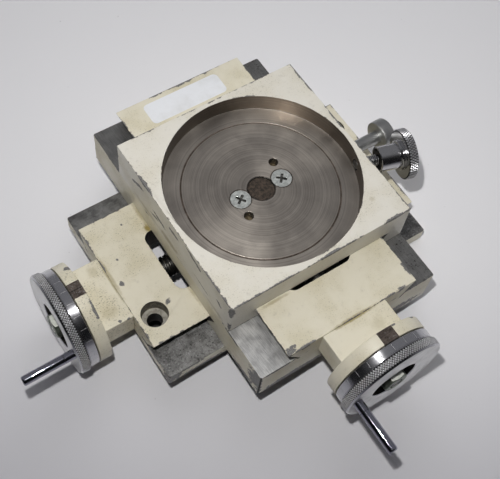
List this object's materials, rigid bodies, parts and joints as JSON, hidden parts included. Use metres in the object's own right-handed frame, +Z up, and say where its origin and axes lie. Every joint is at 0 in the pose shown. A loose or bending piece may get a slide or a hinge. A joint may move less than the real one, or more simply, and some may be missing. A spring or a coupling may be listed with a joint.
{
  "type": "cross slide",
  "caption": "Cream-painted compound cross slide: square table with a round recess on stacked dovetail ways, each driven by a lead screw with handwheel, dial and handle pin.",
  "frame": {"origin": "centre of the base's underside", "axes": "+X along the lower slide, away from its handwheel; +Y along the upper slide, away from its handwheel; +Z up out of the table recess"},
  "size_m": [0.1912, 0.1861, 0.0649],
  "materials": {
    "cream_paint": "satin, chipped",
    "chrome": "polished, worn",
    "screw_steel": "oiled",
    "dark_steel": "oiled",
    "brass": "dull",
    "rust": "rusty"
  },
  "bodies": {
    "base": {"base": "cream_paint", "x_bracket": "cream_paint", "x_index": "dark_steel", "x_bracket_screws": "dark_steel"},
    "x_screw": {"x_leadscrew": "screw_steel", "x_collar": "screw_steel", "x_handwheel": "chrome", "x_washer": "dark_steel", "x_wheel_nut": "dark_steel", "x_handle": "chrome"},
    "x_dial_ring": {"x_dial": "chrome"},
    "saddle": {"saddle": "cream_paint", "x_gib": "dark_steel", "x_gib_screw": "dark_steel", "x_nut": "brass", "x_nut_screws": "dark_steel", "y_bracket": "cream_paint", "y_index": "dark_steel", "y_bracket_screws": "dark_steel"},
    "y_screw": {"y_leadscrew": "screw_steel", "y_collar": "screw_steel", "y_handwheel": "chrome", "y_washer": "dark_steel", "y_wheel_nut": "dark_steel", "y_handle": "chrome"},
    "y_dial_ring": {"y_dial": "chrome"},
    "table": {"table": "cream_paint", "y_gib": "dark_steel", "y_gib_screws": "dark_steel", "y_gib_locknuts": "dark_steel", "y_nut": "brass", "y_nut_screws": "chrome", "centre_plug": "rust"},
    "clamp_point": {"clamp_tip": "brass"},
    "clamp_handle": {"clamp_stud": "screw_steel", "clamp_knob": "chrome"},
    "lock_point": {"lock_slug": "brass"},
    "lock_handle": {"lock_screw": "chrome", "lock_knob": "chrome"}
  },
  "joints": [
    {"name": "x_screw_turn", "type": "hinge", "parent": "base", "child": "x_screw", "pos_m": [0, 0, 0.0078], "axis": [1, 0, 0], "range_deg": [-3970, 5050]},
    {"name": "x_slide", "type": "slide", "parent": "base", "child": "saddle", "axis": [1, 0, 0], "range_m": [-0.028, 0.022]},
    {"name": "x_dial_turn", "type": "hinge", "parent": "x_screw", "child": "x_dial_ring", "pos_m": [0, 0, 0.0078], "axis": [1, 0, 0], "continuous": true},
    {"name": "y_screw_turn", "type": "hinge", "parent": "saddle", "child": "y_screw", "pos_m": [0.0032, -0.0013, 0.0254], "axis": [0, 1, 0], "range_deg": [-4510, 4510]},
    {"name": "y_slide", "type": "slide", "parent": "saddle", "child": "table", "axis": [0, 1, 0], "range_m": [-0.025, 0.025]},
    {"name": "y_dial_turn", "type": "hinge", "parent": "y_screw", "child": "y_dial_ring", "pos_m": [0.0032, -0.0013, 0.0254], "axis": [0, 1, 0], "continuous": true},
    {"name": "clamp_feed", "type": "slide", "parent": "table", "child": "clamp_point", "axis": [0.9588, -0.284, 0], "range_m": [-0.0045, 0.0015]},
    {"name": "clamp_turn", "type": "hinge", "parent": "clamp_point", "child": "clamp_handle", "pos_m": [0.05114, -0.0155, 0.0386], "axis": [0.9588, -0.284, 0], "range_deg": [-2035, 685]},
    {"name": "lock_feed", "type": "slide", "parent": "table", "child": "lock_point", "axis": [1, 0, 0], "range_m": [0, 0.002]},
    {"name": "lock_turn", "type": "hinge", "parent": "lock_point", "child": "lock_handle", "pos_m": [0.0532, -0.0013, 0.0279], "axis": [1, 0, 0], "range_deg": [-10, 730]}
  ],
  "couplings": [
    {"joint": "x_screw_turn", "follows": "x_slide", "rad_per_m": -3141.6},
    {"joint": "y_screw_turn", "follows": "y_slide", "rad_per_m": -3141.6},
    {"joint": "clamp_turn", "follows": "clamp_feed", "rad_per_m": 7854},
    {"joint": "lock_turn", "follows": "lock_feed", "rad_per_m": 6283.2}
  ]
}
